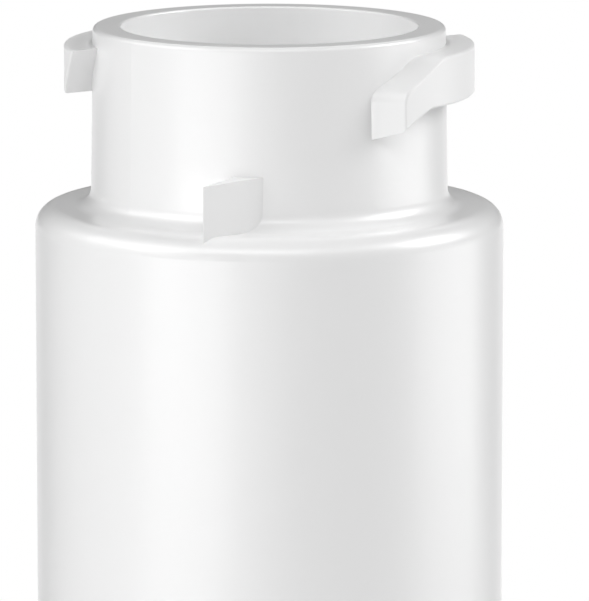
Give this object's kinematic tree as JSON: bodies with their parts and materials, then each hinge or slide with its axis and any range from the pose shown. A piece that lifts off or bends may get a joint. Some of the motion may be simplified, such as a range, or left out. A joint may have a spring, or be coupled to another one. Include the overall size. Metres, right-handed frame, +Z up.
{
  "type": "fridge water filter cartridge",
  "caption": "Tall white twist-in water filter cartridge: tube body, rounded shoulder, open neck with ramped bayonet lugs, a sealed port stem and a carbon element.",
  "frame": {"origin": "centre of the base, on the plane it stands on", "axes": "+Z up along the cartridge's axis through the open neck; -Y is the front, the side the picture shows"},
  "size_m": [0.07, 0.07, 0.233],
  "materials": {
    "white_plastic": "satin moulded white",
    "stem_plastic": "moulded white",
    "seal_rubber": "smooth black",
    "carbon": "pressed carbon, dull",
    "felt": "white felt",
    "net_plastic": "extruded net"
  },
  "bodies": {
    "root": {"housing": "white_plastic", "bottom_cap": "white_plastic", "port_stem": "stem_plastic", "stem_upper_o_ring": "seal_rubber", "stem_lower_o_ring": "seal_rubber", "stem_gasket": "seal_rubber", "nozzle_o_ring": "seal_rubber", "upper_end_cap": "stem_plastic", "lower_end_cap": "stem_plastic", "carbon_block": "carbon", "prefilter_wrap": "felt", "outer_netting": "net_plastic"}
  },
  "joints": []
}
